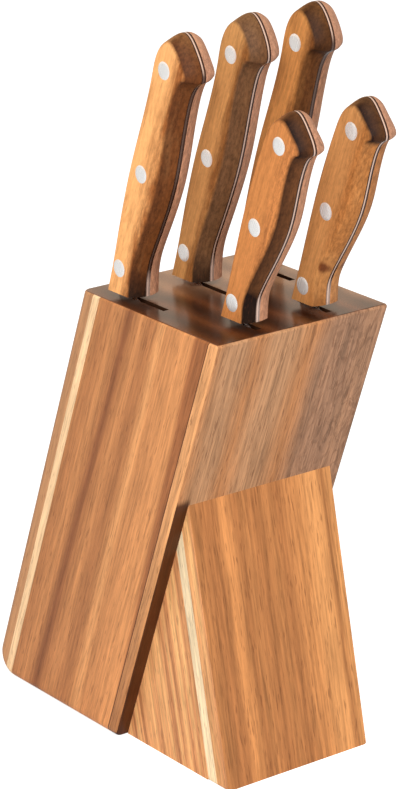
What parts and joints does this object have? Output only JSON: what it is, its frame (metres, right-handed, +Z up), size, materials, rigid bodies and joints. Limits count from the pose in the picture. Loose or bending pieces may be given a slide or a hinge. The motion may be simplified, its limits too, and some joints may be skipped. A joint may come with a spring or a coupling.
{
  "type": "knife block with knives",
  "caption": "Slanted wooden knife block on a wedge stand, holding full-tang riveted kitchen knives with wooden handles in two staggered rows.",
  "frame": {"origin": "centre of the footprint on the table, midway across the block", "axes": "+Z up; +X across the block, to the right seen from its front; the block leans and the handles point towards -Y, its front"},
  "size_m": [0.09, 0.1895, 0.3232],
  "materials": {
    "block_wood": "satin oiled hardwood with long colour stripes",
    "stand_wood": "satin oiled hardwood, orange brown",
    "dowel_wood": "plain turned beech",
    "handle_wood": "smooth oiled hardwood",
    "blade_steel": "fine ground stainless steel",
    "rivet_metal": "bright flush ground metal"
  },
  "bodies": {
    "block": {"front_panel": "block_wood", "back_panel": "block_wood", "left_side_board": "block_wood", "core_board_1": "block_wood", "core_board_2": "block_wood", "core_board_3": "block_wood", "core_board_4": "block_wood", "right_side_board": "block_wood", "stand_front_board": "stand_wood", "stand_middle_board": "stand_wood", "stand_back_board": "stand_wood", "stand_dowels": "dowel_wood"},
    "carving_knife": {"carving_knife_blade": "blade_steel", "carving_knife_left_scale": "handle_wood", "carving_knife_right_scale": "handle_wood", "carving_knife_rivet_sleeves": "rivet_metal", "carving_knife_rivet_pins": "rivet_metal"},
    "utility_knife": {"utility_knife_blade": "blade_steel", "utility_knife_left_scale": "handle_wood", "utility_knife_right_scale": "handle_wood", "utility_knife_rivet_sleeves": "rivet_metal", "utility_knife_rivet_pins": "rivet_metal"},
    "chef_knife": {"chef_knife_blade": "blade_steel", "chef_knife_left_scale": "handle_wood", "chef_knife_right_scale": "handle_wood", "chef_knife_rivet_sleeves": "rivet_metal", "chef_knife_rivet_pins": "rivet_metal"},
    "paring_knife": {"paring_knife_blade": "blade_steel", "paring_knife_left_scale": "handle_wood", "paring_knife_right_scale": "handle_wood", "paring_knife_rivet_sleeves": "rivet_metal", "paring_knife_rivet_pins": "rivet_metal"},
    "bread_knife": {"bread_knife_blade": "blade_steel", "bread_knife_left_scale": "handle_wood", "bread_knife_right_scale": "handle_wood", "bread_knife_rivet_sleeves": "rivet_metal", "bread_knife_rivet_pins": "rivet_metal"}
  },
  "joints": [
    {"name": "carving_knife_pull", "type": "slide", "parent": "block", "child": "carving_knife", "axis": [0, -0.342, 0.9397], "range_m": [0, 0.2]},
    {"name": "utility_knife_pull", "type": "slide", "parent": "block", "child": "utility_knife", "axis": [0, -0.342, 0.9397], "range_m": [0, 0.135]},
    {"name": "chef_knife_pull", "type": "slide", "parent": "block", "child": "chef_knife", "axis": [0, -0.342, 0.9397], "range_m": [0, 0.2]},
    {"name": "paring_knife_pull", "type": "slide", "parent": "block", "child": "paring_knife", "axis": [0, -0.342, 0.9397], "range_m": [0, 0.1]},
    {"name": "bread_knife_pull", "type": "slide", "parent": "block", "child": "bread_knife", "axis": [0, -0.342, 0.9397], "range_m": [0, 0.2]}
  ]
}
